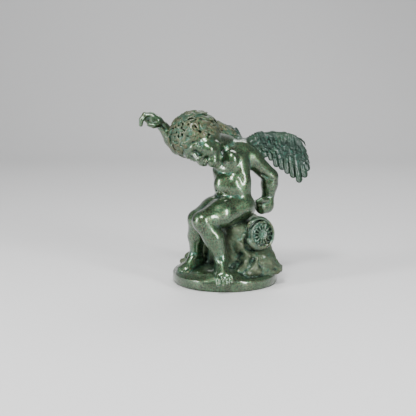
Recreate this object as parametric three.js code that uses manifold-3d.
// A bronze putto seated on a craggy rock, one arm raised and one fist on the hip, with a quiver
// of arrows beside the rock. Putto, rock and quiver are cast in one with a round plinth.
//
// Millimetres, +Z up. The origin is the middle of the plinth's underside, -Y is the front.
import * as THREE from "three";
import { edgeTable, triTable } from "three/addons/objects/MarchingCubes.js";
import { mergeVertices } from "three/addons/utils/BufferGeometryUtils.js";
import Module from "manifold-3d";

// Driving dimensions
const PLINTH_RADIUS = 78;
const PLINTH_HEIGHT = 17;
const PLINTH_EDGE_RADIUS = 5;
const PLINTH_FOOT_INSET = 1.5;
const PLINTH_FOOT_HEIGHT = 2;
const PLINTH_SEGMENTS = 64;
const FIGURE_HEIGHT = 237;
const TRIANGLES = 8600;

// The figure is free form. Its pose and carving are laid out in 240 parts of its own height,
// measured up from the plinth's top, and one part becomes this many millimetres.
const PARTS_HIGH = 237;
const PART = FIGURE_HEIGHT / PARTS_HIGH;

// Vectors are plain [x, y, z] arrays.
const UP = [0, 0, 1];
const plus = (a, b) => [a[0] + b[0], a[1] + b[1], a[2] + b[2]];
const minus = (a, b) => [a[0] - b[0], a[1] - b[1], a[2] - b[2]];
const times = (a, k) => [a[0] * k, a[1] * k, a[2] * k];
const dot = (a, b) => a[0] * b[0] + a[1] * b[1] + a[2] * b[2];
const cross = (a, b) => [
  a[1] * b[2] - a[2] * b[1],
  a[2] * b[0] - a[0] * b[2],
  a[0] * b[1] - a[1] * b[0],
];
const unit = (a) => times(a, 1 / Math.hypot(...a));
const between = (a, b, t) => a.map((value, i) => value * (1 - t) + b[i] * t);

// A body part's own frame: an origin and its left, forward and upward directions.
function frameAt(origin, forward, up) {
  const left = unit(cross(up, forward));
  const ahead = unit(forward);
  return { origin, left, forward: ahead, up: unit(cross(ahead, left)) };
}

const place = (frame, left, forward, up) =>
  plus(
    frame.origin,
    plus(times(frame.left, left), plus(times(frame.forward, forward), times(frame.up, up))),
  );

// Every mass of the clay is a signed distance, negative inside, with the box it lies in.
function limb(a, b, radiusA, radiusB = radiusA) {
  const axis = minus(b, a);
  const length2 = dot(axis, axis);
  const [ax, ay, az] = a;
  const [bx, by, bz] = axis;
  const distance = (x, y, z) => {
    const dx = x - ax;
    const dy = y - ay;
    const dz = z - az;
    const t = Math.min(1, Math.max(0, (dx * bx + dy * by + dz * bz) / length2));
    const near = Math.hypot(dx - bx * t, dy - by * t, dz - bz * t);
    return near - (radiusA + (radiusB - radiusA) * t);
  };
  const low = a.map((value, i) => Math.min(value - radiusA, b[i] - radiusB));
  const high = a.map((value, i) => Math.max(value + radiusA, b[i] + radiusB));
  return { low, high, distance };
}

// An ellipsoid with its radii along a frame's left, forward and upward directions.
function mass(center, radii, frame) {
  const axes = [frame.left, frame.forward, frame.up];
  const reach = [0, 1, 2].map((i) => Math.hypot(...axes.map((axis, j) => axis[i] * radii[j])));
  const distance = (x, y, z) => {
    let near = 0;
    let nearer = 0;
    for (let j = 0; j < 3; j++) {
      const axis = axes[j];
      const along = axis[0] * (x - center[0]) + axis[1] * (y - center[1]) + axis[2] * (z - center[2]);
      const share = along / radii[j];
      near += share * share;
      nearer += (share / radii[j]) ** 2;
    }
    const size = Math.sqrt(near);
    return nearer === 0 ? -Math.min(...radii) : (size * (size - 1)) / Math.sqrt(nearer);
  };
  return { low: minus(center, reach), high: plus(center, reach), distance };
}

// A flat blade with round ends: a feather, a leaf or an arrow's fletching.
function blade(a, b, widthA, widthB, thickness, normal) {
  const span = minus(b, a);
  const length = Math.hypot(...span);
  const along = unit(span);
  const side = unit(cross(normal, along));
  const face = cross(along, side);
  const distance = (x, y, z) => {
    const p = [x - a[0], y - a[1], z - a[2]];
    const s = dot(p, along);
    const t = Math.min(1, Math.max(0, s / length));
    const flat = Math.hypot(s - t * length, dot(p, side)) - (widthA + (widthB - widthA) * t) / 2;
    const thick = Math.abs(dot(p, face)) - thickness / 2;
    const corner = Math.hypot(Math.max(flat + 1, 0), Math.max(thick + 1, 0)) - 1;
    return Math.min(Math.max(flat, thick), 0) + Math.max(corner, 0);
  };
  const reach = Math.max(widthA, widthB) / 2 + thickness;
  const low = a.map((value, i) => Math.min(value, b[i]) - reach);
  const high = a.map((value, i) => Math.max(value, b[i]) + reach);
  return { low, high, distance };
}

// A lump of rock: a box turned three ways, with its edges worn round.
function crag(center, half, turn, worn = 3) {
  const matrix = new THREE.Matrix4().makeRotationFromEuler(new THREE.Euler(...turn));
  const m = matrix.elements;
  const reach = [0, 1, 2].map((i) =>
    Math.abs(m[i]) * half[0] + Math.abs(m[i + 4]) * half[1] + Math.abs(m[i + 8]) * half[2]);
  const distance = (x, y, z) => {
    const dx = x - center[0];
    const dy = y - center[1];
    const dz = z - center[2];
    const qx = Math.abs(m[0] * dx + m[1] * dy + m[2] * dz) - half[0] + worn;
    const qy = Math.abs(m[4] * dx + m[5] * dy + m[6] * dz) - half[1] + worn;
    const qz = Math.abs(m[8] * dx + m[9] * dy + m[10] * dz) - half[2] + worn;
    const outside = Math.hypot(Math.max(qx, 0), Math.max(qy, 0), Math.max(qz, 0));
    return outside + Math.min(Math.max(qx, qy, qz), 0) - worn;
  };
  return { low: minus(center, reach), high: plus(center, reach), distance };
}

// The clay itself: a grid of distances that masses are pressed onto and hollows are cut from.
const CLAY_STEP = 1.9;
const CLAY_LOW = [-134, -106, -13];
const CLAY_HIGH = [132, 128, 248];
const CLAY_SIZE = CLAY_LOW.map((value, i) => Math.ceil((CLAY_HIGH[i] - value) / CLAY_STEP) + 1);
const ROW = CLAY_SIZE[0];
const SHEET = ROW * CLAY_SIZE[1];
const clay = new Float32Array(SHEET * CLAY_SIZE[2]).fill(20);

function softMin(a, b, blend) {
  const h = Math.max(blend - Math.abs(a - b), 0);
  return Math.min(a, b) - (h * h) / (4 * blend);
}

function work(shape, blend, change) {
  const reach = blend + 2 * CLAY_STEP;
  const from = shape.low.map((value, i) =>
    Math.max(0, Math.floor((value - reach - CLAY_LOW[i]) / CLAY_STEP)));
  const to = shape.high.map((value, i) =>
    Math.min(CLAY_SIZE[i] - 1, Math.ceil((value + reach - CLAY_LOW[i]) / CLAY_STEP)));
  for (let k = from[2]; k <= to[2]; k++) {
    const z = CLAY_LOW[2] + k * CLAY_STEP;
    for (let j = from[1]; j <= to[1]; j++) {
      const y = CLAY_LOW[1] + j * CLAY_STEP;
      for (let i = from[0]; i <= to[0]; i++) {
        const at = i + j * ROW + k * SHEET;
        const distance = shape.distance(CLAY_LOW[0] + i * CLAY_STEP, y, z);
        clay[at] = change(clay[at], distance);
      }
    }
  }
}

const press = (shape, blend = 4) => work(shape, blend, (old, d) => softMin(old, d, blend));
const cut = (shape, blend = 2) => work(shape, blend, (old, d) => -softMin(-old, d, blend));

// A string of limbs through points, with a radius at each.
function string(points, radii, blend) {
  for (let i = 1; i < points.length; i++) {
    press(limb(points[i - 1], points[i], radii[i - 1], radii[i]), blend);
  }
}

// The body's frames. The pelvis faces 50 degrees to the viewer's left and the chest 28.
const PELVIS = frameAt([15, -12, 101], [-0.766, -0.643, 0], UP);
const CHEST = frameAt([8, -12, 158], [-0.469, -0.883, 0], UP);
const HEAD = frameAt([-42, -38, 197], [-0.46, -0.684, -0.57], [-0.84, 0.114, 0.538]);

const SQUARE = frameAt([0, 0, 0], [0, -1, 0], UP);

function torso() {
  press(mass(PELVIS.origin, [26, 23, 21], PELVIS), 5);
  for (const side of [-1, 1]) {
    press(mass(place(PELVIS, side * 12, -7, -6), [16, 16, 16], PELVIS), 5);
  }
  press(mass([10, -15, 124], [28.5, 25, 25], PELVIS), 7);
  press(mass([9, -13, 145], [28, 22, 24], CHEST), 7);
  press(mass(CHEST.origin, [27, 20, 27], CHEST), 7);
  press(limb([21, -7, 176], [-13, 13, 180], 12, 12), 7);
  press(mass([8, -29, 164], [11.5, 9.5, 14.5], CHEST), 2.5);
  press(mass([-12, -20, 164], [11, 9, 14], CHEST), 2.5);
  press(mass([8, -32, 128], [14, 11, 15], CHEST), 3);
  press(mass([-5, -28, 129], [13, 11, 15], CHEST), 4);
  press(mass([27, -25, 132], [10, 12, 19], CHEST), 3);
  for (const side of [-1, 1]) {
    press(mass(place(CHEST, side * 12, -13, 8), [11, 8, 15], CHEST), 6);
    press(mass(place(PELVIS, side * 19, 3, 17), [8, 13, 8], PELVIS), 5);
  }
  press(limb([2, 4, 184], [-19, -28, 193], 14.5, 13.5), 7);
}

// Soft folds of a child's skin: shallow grooves round the belly, groin and waist.
function skinFolds() {
  cut(limb(place(CHEST, -22, 14, -9), place(CHEST, -8, 24, -14), 1.2), 5);
  cut(limb(place(CHEST, -8, 24, -14), place(CHEST, 8, 25, -14), 1.2), 5);
  cut(limb(place(CHEST, 8, 25, -14), place(CHEST, 23, 17, -9), 1.2), 5);
  cut(limb(place(PELVIS, -14, 25, 9), place(PELVIS, 2, 31, 3), 1.4), 5);
  cut(limb(place(PELVIS, 2, 31, 3), place(PELVIS, 16, 27, 8), 1.4), 5);
  cut(limb(place(PELVIS, 16, 27, 8), place(PELVIS, 25, 18, 14), 1.4), 5);
  cut(limb(place(PELVIS, 0, -27, 8), place(PELVIS, 0, -25, -14), 2.4), 4);
  cut(limb(place(CHEST, 0, -21, 22), place(CHEST, 0, -24, 0), 2.5), 6);
}

const LEFT_LEG = {
  hip: [21, -24, 98],
  knee: [-32, -64, 83],
  calf: [-16, -60, 58],
  ankle: [-6, -60, 29],
  toes: [0, -88, 2],
  thighRadii: [21.5, 15],
  calfRadius: 14.5,
  ankleRadius: 9.5,
};
const RIGHT_LEG = {
  hip: [6, 1, 98],
  knee: [-40, -46, 83],
  calf: [-41, -35, 56],
  ankle: [-42, -26, 29],
  toes: [-61, -48, 3],
  thighRadii: [22, 14],
  calfRadius: 12.5,
  ankleRadius: 9,
};

function leg({ hip, knee, calf, ankle, toes, thighRadii, calfRadius, ankleRadius }) {
  const [thick, thin] = thighRadii;
  string([hip, between(hip, knee, 0.5), knee], [thick, (thick + thin) / 2 + 2, thin - 1], 6);
  press(limb(knee, plus(knee, [0, 0, -4]), thin - 1, thin - 1.5), 4);
  string([knee, calf, ankle], [thin - 1.5, calfRadius, ankleRadius], 5);
  foot(ankle, toes, ankleRadius);
}

// A foot on the slope: heel, instep, ball and five toes that curl down at their tips.
function foot(ankle, toes, ankleRadius) {
  const along = unit(minus(toes, ankle));
  const flat = unit([along[0], along[1], 0]);
  const side = unit(cross(flat, UP));
  const top = unit(cross(side, along));
  const heel = plus(ankle, plus(times(flat, -6), [0, 0, -12]));
  const ball = plus(toes, plus(times(along, -11), times(top, -1)));
  press(limb(ankle, heel, ankleRadius - 1, 9), 5);
  press(limb(ankle, ball, ankleRadius - 2, 8), 6);
  for (const half of [-1, 1]) {
    press(limb(plus(heel, times(side, half)), plus(ball, times(side, half * 6)), 7, 5.5), 5);
  }
  for (let toe = 0; toe < 5; toe++) {
    const across = (toe - 2) * 4.9;
    const short = Math.abs(toe - 1.6) * 1.2;
    const root = plus(plus(toes, times(along, -9 - short / 2)), times(side, across));
    const knuckle = plus(plus(toes, times(along, -2.5 - short)), plus(times(side, across), times(top, 1)));
    const tip = plus(plus(toes, times(along, 1.5 - short)), plus(times(side, across), [0, 0, -3.5]));
    string([root, knuckle, tip], [3, 3, 2.7], 1.2);
  }
}

const LEFT_ARM = {
  shoulder: [24, -5, 178],
  elbow: [66, 12, 136],
  wrist: [63, 14, 104],
};
const RIGHT_ARM = {
  shoulder: [-18, 17, 184],
  elbow: [-69, 10, 180],
  wrist: [-90, 5, 209],
};

function leftArm() {
  const { shoulder, elbow, wrist } = LEFT_ARM;
  press(limb(shoulder, between(shoulder, elbow, 0.4), 13, 14), 6);
  press(limb(between(shoulder, elbow, 0.3), elbow, 14, 11.5), 4);
  string([elbow, between(elbow, wrist, 0.35), wrist], [11.5, 12.3, 9.3], 4);
  press(mass([60, 12, 94], [12.5, 10, 13], SQUARE), 4);
  press(mass([54, 8, 92], [8, 8, 11], SQUARE), 3);
  for (let finger = 0; finger < 4; finger++) {
    const drop = finger * 4.7;
    const knuckle = [53 - drop * 0.1, -1 + drop * 0.35, 100 - drop];
    const middle = [45.5 + drop * 0.05, -2 + drop * 0.35, 100.5 - drop * 1.05];
    const tip = [42, 4 + drop * 0.3, 100 - drop * 1.05];
    string([knuckle, middle, tip], [4.2, 3.7, 3.3], 1.2);
  }
  string([[60, 2, 103], [53, -4.5, 104], [47, -5.5, 101.5]], [4.6, 4, 3.4], 1.4);
}

function rightArm() {
  const { shoulder, elbow, wrist } = RIGHT_ARM;
  press(limb(shoulder, between(shoulder, elbow, 0.5), 14, 13), 6);
  press(limb(between(shoulder, elbow, 0.4), elbow, 13, 11.5), 4);
  string([elbow, between(elbow, wrist, 0.4), wrist], [11.5, 12, 8], 4);
  const knuckles = [-107, 0, 225];
  press(limb(wrist, between(wrist, knuckles, 0.6), 7, 7.8), 3);
  press(limb(between(wrist, knuckles, 0.5), knuckles, 8, 6.6), 3);
  press(mass([-105, 3, 219], [7, 9, 6.5], SQUARE), 3);
  const forefinger = [[-108, -3, 227.5], [-116, -7, 227.5], [-120.5, -10, 221], [-121.5, -10, 213.5]];
  string(forefinger, [4.4, 3.9, 3.5, 2.9], 1.5);
  for (let finger = 0; finger < 3; finger++) {
    const back = finger * 4.7;
    const root = [-109 + finger * 0.6, 1.5 + back, 227.5 - finger * 1.2];
    const bend = [-115.5 + finger, 0.5 + back, 221.5 - finger];
    const tip = [-109.5 + finger, -0.5 + back, 214.5 - finger * 0.4];
    string([root, bend, tip], [4.2, 3.8, 3.2], 1.4);
  }
  string([[-96, -3, 213.5], [-103, -8, 212], [-110, -8, 213.5]], [4.8, 3.9, 3.1], 1.8);
}

const CRANIUM_RADIUS = 31;
const HAIR_RADIUS = 33;
const LOCKS = 84;
// Seen from the middle of the head, the face opens in the hair about this direction.
const FACE_OPENING = unit([0.05, 0.66, -0.75]);
const HAIRLINE = 0.63;
const GOLDEN_ANGLE = Math.PI * (3 - Math.sqrt(5));

// The face looks a little further to the left than the skull does.
const FACE_TURN = Math.PI / 18;
const FACE = frameAt(
  plus(HEAD.origin, [4, 0, -3]),
  plus(times(HEAD.forward, Math.cos(FACE_TURN)), times(HEAD.left, Math.sin(FACE_TURN))),
  HEAD.up,
);

function face() {
  press(mass(HEAD.origin, [28, CRANIUM_RADIUS, CRANIUM_RADIUS], HEAD), 6);
  press(mass(place(FACE, 0, 6, 6), [24.5, 24, 24], FACE), 5);
  press(mass(place(FACE, 0, 9, -14), [20, 18, 23], FACE), 5);
  press(mass(place(FACE, 0, 21.5, -34), [7, 7, 6.5], FACE), 4);
  for (const side of [-1, 1]) {
    press(limb(place(FACE, side * 13, 4, -26), place(FACE, 0, 19, -34), 7, 7), 5);
    press(mass(place(FACE, side * 11.5, 17, -21), [9, 8.5, 10], FACE), 4);
    cut(mass(place(FACE, side * 10, 33.5, -9), [6.8, 6.5, 4.6], FACE), 3);
    press(mass(place(FACE, side * 10, 25, -9.4), [5.6, 4.8, 4.2], FACE), 1);
    press(limb(place(FACE, side * 4, 30.5, -2), place(FACE, side * 14, 27.5, -1.5), 2.2, 2), 3);
  }
  string([place(FACE, 0, 28, -5), place(FACE, 0, 30.2, -10), place(FACE, 0, 33.4, -16)], [2.8, 3, 3.6], 2);
  press(limb(place(FACE, -3.4, 31, -17.2), place(FACE, 3.4, 31, -17.2), 2.6, 2.6), 2);
  press(limb(place(FACE, -4.5, 29.4, -24.6), place(FACE, 4.5, 29.4, -24.6), 2, 2), 1.2);
  press(limb(place(FACE, -3.4, 29, -28.2), place(FACE, 3.4, 29, -28.2), 2.3, 2.3), 1.2);
}

// Thick curls: locks set out in a spiral from the crown, each one a short hooked string.
function hair() {
  press(mass(place(HEAD, 1, -5.5, 1.5), [30, HAIR_RADIUS - 1, HAIR_RADIUS - 0.5], HEAD), 3);
  for (let lock = 0; lock < LOCKS; lock++) {
    const height = 1 - (1.62 * (lock + 0.5)) / LOCKS;
    const ring = Math.sqrt(1 - height * height);
    const angle = lock * GOLDEN_ANGLE;
    const out = [ring * Math.sin(angle), ring * Math.cos(angle), height];
    const inFace = dot(out, FACE_OPENING) > HAIRLINE;
    if (inFace || out[2] < -0.6) {
      continue;
    }
    const turn = lock % 2 === 0 ? 1 : -1;
    const points = [];
    for (let step = 0; step <= 3; step++) {
      const swing = angle + turn * (0.34 - 0.09 * (step - 1.5) ** 2);
      const fall = Math.acos(height) + 0.17 * (step - 1.2);
      const reach = HAIR_RADIUS + 1.2 - Math.abs(step - 1.5) * 0.6;
      points.push(place(
        HEAD,
        0.94 * reach * Math.sin(fall) * Math.sin(swing) + 1,
        reach * Math.sin(fall) * Math.cos(swing) - 5,
        reach * Math.cos(fall) + 1.5,
      ));
    }
    string(points, [2.6, 3.8, 3.6, 2.2], 1.5);
  }
  for (const [start, end] of [[-4, -22], [0, -18]]) {
    const forelock = [[start, 9, 35], [start - 11, 21, 30], [end, 25.5, 15]];
    string(forelock.map((point) => place(HEAD, ...point)), [3.2, 3.6, 2.2], 1.5);
  }
}

// Wings. A wing is laid out flat in span and height from its root, then cupped and turned.
const LEFT_WING = { root: [24, 9, 181], bearing: [0.966, 0.26, 0], raised: 0, cup: 1, reach: 1 };
const RIGHT_WING = { root: [22, 17, 181], bearing: [-0.42, 0.907, 0], raised: 0.12, cup: -1, reach: 0.85 };
// The right wing's shoulder stands up as a rounded ridge behind the neck.
const WING_SHOULDER = [[-11, 20, 206], [2, 22, 197.5], [10, 22, 187], [20, 19, 180]];
const FOREARM_OF_WING = [[0, -4], [14, 7], [30, 14], [48, 16], [66, 15], [82, 8], [93, -4]];
const FEATHERS = [
  { base: [94, -7], tip: [99.5, -34], width: 10 },
  { base: [89, 0], tip: [95, -43], width: 11.5 },
  { base: [82, 5], tip: [86.5, -50], width: 12 },
  { base: [74, 8], tip: [78, -43], width: 12 },
  { base: [66, 9], tip: [70, -37], width: 12 },
  { base: [58, 10], tip: [62, -31], width: 12 },
  { base: [50, 10], tip: [53.5, -27], width: 11.5 },
  { base: [42, 10], tip: [45.5, -18], width: 10 },
  { base: [32, 15], tip: [37, -13], width: 10 },
  { base: [24, 13], tip: [31, -17], width: 10.5 },
  { base: [14, 8], tip: [23, -21], width: 10.5 },
  { base: [5, 2], tip: [14, -23], width: 10.5 },
];
// Rows of shorter feathers: how many, where along the long ones they begin and end, and how far out.
const COVERT_ROWS = [
  { count: 13, first: 0.1, last: 0.62, width: 10, off: 2.6 },
  { count: 14, first: -0.06, last: 0.36, width: 9, off: 4 },
];

function wing({ root, bearing, raised, cup, reach }) {
  const normal = cross(bearing, UP);
  const span = plus(times(bearing, Math.cos(raised)), times(UP, Math.sin(raised)));
  const rise = plus(times(bearing, -Math.sin(raised)), times(UP, Math.cos(raised)));
  const at = ([s, z], off = 0) => {
    const bowl = cup * ((s - 45) ** 2 / 500 + (z - 10) ** 2 / 450 - 4);
    return plus(root, plus(times(normal, bowl + off), plus(times(span, s), times(rise, z))));
  };
  press(limb(minus(root, times(cross(UP, normal), 8)), at(FOREARM_OF_WING[1]), 9, 6), 6);
  string(FOREARM_OF_WING.map((point) => at(point)), [8, 6, 5, 4.6, 4.2, 3.6, 3], 4);
  // Each feather is turned a little on its quill, so that its edge stands over the next one.
  const tilted = unit(plus(normal, times(span, 0.3)));
  for (const { base, tip, width } of FEATHERS) {
    press(blade(at(base), at(between(base, tip, reach)), width, width, 3.6, tilted), 0.8);
  }
  for (const { count, first, last, width, off } of COVERT_ROWS) {
    for (let covert = 0; covert < count; covert++) {
      const share = (covert * (FEATHERS.length - 1)) / (count - 1);
      const before = FEATHERS[Math.min(Math.floor(share), FEATHERS.length - 2)];
      const after = FEATHERS[Math.min(Math.floor(share) + 1, FEATHERS.length - 1)];
      const part = share - FEATHERS.indexOf(before);
      const base = between(before.base, after.base, part);
      const tip = between(before.tip, after.tip, part);
      for (const face of [-1, 1]) {
        const start = at(between(base, tip, first), face * (off - 2));
        const end = at(between(base, tip, last * reach), face * off);
        press(blade(start, end, width, width, 2.6, normal), 0.8);
      }
    }
  }
}

// The quiver lies on the rock with its mouth to the front, full of fletched arrows.
const QUIVER_MOUTH = [53, -38, 59];
const QUIVER_TAIL = [-4, 54, 46];
const QUIVER_RADIUS = 18;
const PETALS = 10;

function quiver() {
  const back = unit(minus(QUIVER_TAIL, QUIVER_MOUTH));
  const frame = frameAt(QUIVER_MOUTH, times(back, -1), UP);
  const ring = (radius, [across, forward, high], first, last, thick, steps) => {
    const points = [];
    for (let step = 0; step <= steps; step++) {
      const angle = ((first + ((last - first) * step) / steps) * Math.PI) / 180;
      const left = across + radius * Math.cos(angle);
      points.push(place(frame, left, forward, high + radius * Math.sin(angle)));
    }
    string(points, points.map(() => thick), 2);
  };
  press(limb(plus(QUIVER_MOUTH, times(back, 16)), QUIVER_TAIL, QUIVER_RADIUS - 1, 12), 4);
  press(mass(place(frame, -2, -9, 1), [19.5, 13, 21], frame), 3);
  cut(mass(place(frame, 0, 10, 0), [16, 13, 16], frame), 1.5);
  ring(17, [0, 0, 0], 0, 360, 2.4, 20);
  ring(20.5, [-3, 1, 2.5], -40, 140, 2.8, 14);
  ring(20, [-2, -3, 0], -165, -15, 3.4, 12);
  for (let petal = 0; petal < PETALS; petal++) {
    const angle = (2 * Math.PI * (petal + 0.5)) / PETALS;
    const ray = plus(times(frame.left, Math.cos(angle)), times(frame.up, Math.sin(angle)));
    const leaf = frameAt(QUIVER_MOUTH, frame.forward, ray);
    press(mass(place(leaf, 0, -1, 9.5), [2.3, 2.8, 6.6], leaf), 0.5);
  }
  press(mass(place(frame, 0, 0, 0), [3.4, 3, 3.4], frame), 0.8);
}

// The rock: one heap under the seat, crags round it, and a low mound under the feet.
const CRAGS = [
  { center: [20, 2, 30], half: [38, 38, 49], turn: [0.1, 0.1, 0.5], worn: 14 },
  { center: [28, 26, 28], half: [32, 30, 34], turn: [0.1, -0.15, 0.2], worn: 10 },
  { center: [24, -28, 40], half: [12, 12, 13], turn: [0.4, 0.3, 0.2], worn: 5 },
  { center: [29, -36, 26], half: [11, 9, 11], turn: [0.2, 0.5, 0.7], worn: 5 },
  { center: [-18, 34, 14], half: [32, 24, 22], turn: [0.1, 0.2, 0.4], worn: 8 },
  { center: [10, 52, 10], half: [30, 18, 18], turn: [-0.2, 0.1, 0.1], worn: 6 },
  { center: [-47, 34, 2], half: [12, 14, 10], turn: [0.2, -0.3, 0.6], worn: 4 },
  { center: [48, 38, 8], half: [18, 18, 15], turn: [-0.2, 0.2, 0.8], worn: 5 },
  { center: [66, -22, 9], half: [16, 12, 9], turn: [0.15, 0.6, -0.2], worn: 3 },
  { center: [72, -12, 3], half: [11, 10, 4], turn: [0.1, 0.2, 0.2], worn: 2 },
];
const KNOBS = [
  { center: [19, -37, 57], radii: [8.5, 8, 9] },
  { center: [20, -42, 43], radii: [9, 8, 10] },
  { center: [40, -48, 8], radii: [14, 8, 7] },
  { center: [62, -32, 14], radii: [10, 9, 9] },
  { center: [-55, 40, 8], radii: [7, 6, 8] },
  { center: [-62, 30, 3], radii: [7, 6, 5] },
];

function rock() {
  for (const { center, half, turn, worn } of CRAGS) {
    press(crag(center, half, turn, worn), 3);
  }
  press(mass([44, -6, 0], [34, 41, 46], SQUARE), 5);
  press(mass([30, -38, 0], [20, 18, 24], SQUARE), 5);
  for (const { center, radii } of KNOBS) {
    press(mass(center, radii, CHEST), 4);
  }
  string([[27, -44, 36], [33, -46, 28], [28, -51, 16], [18, -52, 8]], [2.4, 3, 3, 2.4], 5);
  press(mass([-20, -40, -4], [56, 46, 16], CHEST), 8);
  press(mass([-6, -62, 2], [22, 24, 12], PELVIS), 6);
  press(mass([-50, -24, 4], [20, 22, 12], PELVIS), 6);
  press(mass([0, 0, -8], [74, 72, 12], CHEST), 6);
  cut(clearOfRim, 2);
  cut(crag([0, 0, -EMBEDDED - 30], [150, 150, 30], [0, 0, 0], 0), 0.1);
}

// Rock may lean out over the plinth's rim, but none of it hangs down beside the rim.
const RIM = PLINTH_RADIUS / PART;
const EMBEDDED = 8;
const clearOfRim = {
  low: [CLAY_LOW[0], CLAY_LOW[1], -20],
  high: [CLAY_HIGH[0], CLAY_HIGH[1], 0],
  distance: (x, y, z) => Math.max(RIM - 3 - Math.hypot(x, y), z + 1),
};

// The clay's surface, as marching-cubes triangles on shared vertices.
const CORNERS = [[0, 0, 0], [1, 0, 0], [1, 1, 0], [0, 1, 0], [0, 0, 1], [1, 0, 1], [1, 1, 1], [0, 1, 1]];
const EDGES = [[0, 1], [1, 2], [3, 2], [0, 3], [4, 5], [5, 6], [7, 6], [4, 7], [0, 4], [1, 5], [2, 6], [3, 7]];

function skin() {
  const vertices = [];
  const triangles = [];
  const known = new Map();
  const steps = CORNERS.map(([i, j, k]) => i + j * ROW + k * SHEET);
  const vertexOn = (cell, edge) => {
    const [a, b] = EDGES[edge];
    const from = cell + steps[a];
    const axis = [0, 1, 2].find((i) => CORNERS[a][i] !== CORNERS[b][i]);
    const key = from * 3 + axis;
    if (!known.has(key)) {
      const share = clay[from] / (clay[from] - clay[cell + steps[b]]);
      const spot = [from % ROW, Math.floor((from % SHEET) / ROW), Math.floor(from / SHEET)];
      spot[axis] += Math.min(0.97, Math.max(0.03, share));
      known.set(key, vertices.length / 3);
      vertices.push(...spot.map((value, i) => CLAY_LOW[i] + value * CLAY_STEP));
    }
    return known.get(key);
  };
  for (let k = 0; k < CLAY_SIZE[2] - 1; k++) {
    for (let j = 0; j < CLAY_SIZE[1] - 1; j++) {
      for (let i = 0; i < CLAY_SIZE[0] - 1; i++) {
        const cell = i + j * ROW + k * SHEET;
        let index = 0;
        for (let corner = 0; corner < 8; corner++) {
          index |= clay[cell + steps[corner]] > 0 ? 1 << corner : 0;
        }
        if (edgeTable[index] === 0) {
          continue;
        }
        for (let t = index * 16; triTable[t] !== -1; t += 3) {
          triangles.push([0, 1, 2].map((n) => vertexOn(cell, triTable[t + n])));
        }
      }
    }
  }
  return { vertices, triangles };
}

// The outer skin alone: bubbles shut in between the masses of clay are filled.
function largestShell({ vertices, triangles }) {
  const parent = Array.from({ length: vertices.length / 3 }, (_, v) => v);
  const root = (v) => {
    while (parent[v] !== v) {
      parent[v] = parent[parent[v]];
      v = parent[v];
    }
    return v;
  };
  for (const [a, b, c] of triangles) {
    parent[root(b)] = root(a);
    parent[root(c)] = root(a);
  }
  const sizes = new Map();
  for (const [a] of triangles) {
    sizes.set(root(a), (sizes.get(root(a)) ?? 0) + 1);
  }
  const [[largest]] = [...sizes].sort((one, other) => other[1] - one[1]);
  return { vertices, triangles: triangles.filter(([a]) => root(a) === largest) };
}

// Head, hands and feet keep finer triangles than the broad masses.
const FINE_PLACES = [
  { center: [-110, -2, 220], reach: 20, weight: 12 },
  { center: [50, 2, 94], reach: 18, weight: 9 },
  { center: [-2, -84, 4], reach: 18, weight: 14 },
  { center: [-60, -46, 4], reach: 16, weight: 14 },
  { center: [53, -40, 59], reach: 25, weight: 8 },
  { center: [-30, -58, 180], reach: 22, weight: 16 },
  { center: HEAD.origin, reach: 46, weight: 5 },
  { center: [78, 24, 165], reach: 62, weight: 4 },
  { center: [-6, 66, 168], reach: 58, weight: 4 },
];

function importance(x, y, z) {
  for (const { center, reach, weight } of FINE_PLACES) {
    if (Math.hypot(x - center[0], y - center[1], z - center[2]) < reach) {
      return weight;
    }
  }
  return 1;
}

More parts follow.
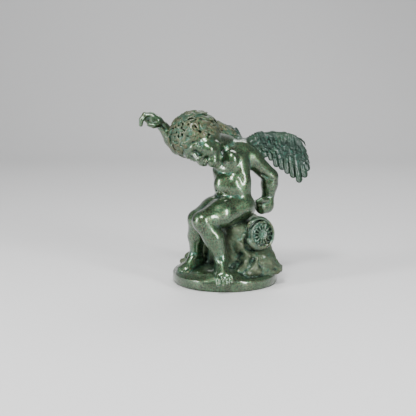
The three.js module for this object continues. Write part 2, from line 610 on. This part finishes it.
// Edge collapse by quadric error: the skin keeps its form with far fewer triangles.
function thin({ vertices, triangles }, target) {
  const count = vertices.length / 3;
  const quadric = new Float64Array(count * 10);
  const around = Array.from({ length: count }, () => new Set());
  const stamp = new Int32Array(count);
  const alive = new Uint8Array(triangles.length).fill(1);
  const point = (v) => [vertices[v * 3], vertices[v * 3 + 1], vertices[v * 3 + 2]];
  const normalOf = (a, b, c) => cross(minus(b, a), minus(c, a));
  let left = triangles.length;

  triangles.forEach((triangle, t) => {
    const [a, b, c] = triangle.map(point);
    const normal = normalOf(a, b, c);
    const size = Math.hypot(...normal) || 1;
    const plane = [...times(normal, 1 / size), -dot(normal, a) / size];
    const weight = size * importance(...a);
    for (const v of triangle) {
      around[v].add(t);
      let slot = v * 10;
      for (let i = 0; i < 4; i++) {
        for (let j = i; j < 4; j++) {
          quadric[slot++] += weight * plane[i] * plane[j];
        }
      }
    }
  });

  const costAt = (q, [x, y, z]) =>
    q[0] * x * x + q[4] * y * y + q[7] * z * z + q[9] +
    2 * (q[1] * x * y + q[2] * x * z + q[5] * y * z + q[3] * x + q[6] * y + q[8] * z);
  const bestFor = (a, b) => {
    const q = new Float64Array(10);
    for (let i = 0; i < 10; i++) {
      q[i] = quadric[a * 10 + i] + quadric[b * 10 + i];
    }
    const pa = point(a);
    const pb = point(b);
    const choices = [pa, pb, between(pa, pb, 0.5)];
    const rows = [[q[0], q[1], q[2]], [q[1], q[4], q[5]], [q[2], q[5], q[7]]];
    const det = dot(rows[0], cross(rows[1], rows[2]));
    const scale = (q[0] + q[4] + q[7]) / 3;
    if (Math.abs(det) > 1e-3 * scale ** 3) {
      const right = [-q[3], -q[6], -q[8]];
      const solved = plus(
        plus(times(cross(rows[1], rows[2]), right[0] / det), times(cross(rows[2], rows[0]), right[1] / det)),
        times(cross(rows[0], rows[1]), right[2] / det),
      );
      if (Math.hypot(...minus(solved, choices[2])) < 2 * Math.hypot(...minus(pa, pb))) {
        choices.push(solved);
      }
    }
    const costs = choices.map((choice) => costAt(q, choice));
    const pick = costs.indexOf(Math.min(...costs));
    return { spot: choices[pick], cost: costs[pick] + 1e-4 * dot(minus(pa, pb), minus(pa, pb)) };
  };

  const heap = [];
  const swap = (i, j) => {
    [heap[i], heap[j]] = [heap[j], heap[i]];
  };
  const add = (item) => {
    let i = heap.push(item) - 1;
    while (i > 0 && heap[(i - 1) >> 1].cost > heap[i].cost) {
      swap(i, (i - 1) >> 1);
      i = (i - 1) >> 1;
    }
  };
  const take = () => {
    const top = heap[0];
    const last = heap.pop();
    if (heap.length > 0) {
      heap[0] = last;
      for (let i = 0, next = 1; next < heap.length; next = 2 * i + 1) {
        next += next + 1 < heap.length && heap[next + 1].cost < heap[next].cost ? 1 : 0;
        if (heap[i].cost <= heap[next].cost) {
          break;
        }
        swap(i, next);
        i = next;
      }
    }
    return top;
  };
  const offer = (a, b) => add({ a, b, ...bestFor(a, b), stamps: stamp[a] + stamp[b] });
  const neighbours = (v) => {
    const found = new Set();
    for (const t of around[v]) {
      triangles[t].forEach((other) => found.add(other));
    }
    found.delete(v);
    return found;
  };
  const turnsOver = (v, other, spot) => {
    for (const t of around[v]) {
      if (triangles[t].includes(other)) {
        continue;
      }
      const before = triangles[t].map(point);
      const after = triangles[t].map((n) => (n === v ? spot : point(n)));
      const was = normalOf(...before);
      const now = normalOf(...after);
      if (dot(was, now) < 0.25 * Math.hypot(...was) * Math.hypot(...now)) {
        return true;
      }
      const longest = Math.max(...after.map((p, i) => Math.hypot(...minus(p, after[(i + 1) % 3]))));
      if (Math.hypot(...now) < 0.06 * longest * longest) {
        return true;
      }
    }
    return false;
  };

  for (let a = 0; a < count; a++) {
    for (const b of neighbours(a)) {
      if (a < b) {
        offer(a, b);
      }
    }
  }
  while (left > target && heap.length > 0) {
    const { a, b, spot, stamps } = take();
    if (around[a].size === 0 || around[b].size === 0 || stamps !== stamp[a] + stamp[b]) {
      continue;
    }
    const near = neighbours(a);
    const shared = [...neighbours(b)].filter((v) => near.has(v));
    if (!near.has(b) || shared.length !== 2 || turnsOver(a, b, spot) || turnsOver(b, a, spot)) {
      continue;
    }
    for (const t of [...around[b]]) {
      if (triangles[t].includes(a)) {
        triangles[t].forEach((v) => around[v].delete(t));
        alive[t] = 0;
        left -= 1;
      } else {
        triangles[t] = triangles[t].map((v) => (v === b ? a : v));
        around[a].add(t);
      }
    }
    around[b].clear();
    spot.forEach((value, i) => {
      vertices[a * 3 + i] = value;
    });
    for (let i = 0; i < 10; i++) {
      quadric[a * 10 + i] += quadric[b * 10 + i];
    }
    stamp[a] += stamp[b] + 1;
    for (const v of neighbours(a)) {
      offer(a, v);
    }
  }
  return { vertices, triangles: triangles.filter((_, t) => alive[t]) };
}

// The plinth: a turned disc with a rounded upper edge over a narrow recessed foot.
function plinthGeometry() {
  const foot = PLINTH_RADIUS - PLINTH_FOOT_INSET;
  const profile = [
    new THREE.Vector2(0, 0),
    new THREE.Vector2(foot, 0),
    new THREE.Vector2(foot, PLINTH_FOOT_HEIGHT),
    new THREE.Vector2(PLINTH_RADIUS, PLINTH_FOOT_HEIGHT + PLINTH_FOOT_INSET),
  ];
  const arcSteps = 3;
  for (let step = 0; step <= arcSteps; step++) {
    const angle = (step / arcSteps) * (Math.PI / 2);
    profile.push(new THREE.Vector2(
      PLINTH_RADIUS - PLINTH_EDGE_RADIUS * (1 - Math.cos(angle)),
      PLINTH_HEIGHT - PLINTH_EDGE_RADIUS * (1 - Math.sin(angle)),
    ));
  }
  profile.push(new THREE.Vector2(0, PLINTH_HEIGHT));
  const geometry = new THREE.LatheGeometry(profile, PLINTH_SEGMENTS);
  geometry.rotateX(Math.PI / 2);
  return geometry;
}

const wasm = await Module();
wasm.setup();

function solidOf(geometry) {
  const bare = geometry.clone();
  bare.deleteAttribute("normal");
  bare.deleteAttribute("uv");
  const merged = mergeVertices(bare, 1e-4);
  return new wasm.Manifold(new wasm.Mesh({
    numProp: 3,
    vertProperties: new Float32Array(merged.attributes.position.array),
    triVerts: new Uint32Array(merged.index.array),
  }));
}

function geometryOf(solid) {
  const mesh = solid.getMesh();
  const geometry = new THREE.BufferGeometry();
  geometry.setAttribute("position", new THREE.BufferAttribute(mesh.vertProperties, 3));
  geometry.setIndex(new THREE.BufferAttribute(mesh.triVerts, 1));
  geometry.computeVertexNormals();
  return geometry;
}

function figureGeometry() {
  rock();
  quiver();
  torso();
  leg(RIGHT_LEG);
  leg(LEFT_LEG);
  skinFolds();
  wing(LEFT_WING);
  wing(RIGHT_WING);
  string(WING_SHOULDER, [9.5, 10, 9.5, 8], 5);
  rightArm();
  leftArm();
  face();
  hair();
  const { vertices, triangles } = thin(largestShell(skin()), TRIANGLES);
  const sized = vertices.map((value, i) => value * PART + (i % 3 === 2 ? PLINTH_HEIGHT : 0));
  const geometry = new THREE.BufferGeometry();
  geometry.setAttribute("position", new THREE.Float32BufferAttribute(sized, 3));
  geometry.setIndex(triangles.flat());
  return geometry;
}

// Waxed bronze with a green patina.
const patinatedBronze = new THREE.MeshStandardMaterial({
  color: 0x3d5343,
  roughness: 0.35,
  metalness: 0.75,
});

const statue = solidOf(figureGeometry()).add(solidOf(plinthGeometry()));
const putto = new THREE.Mesh(geometryOf(statue), patinatedBronze);
putto.name = "putto_statue";

const group = new THREE.Group();
group.add(putto);

export default group;
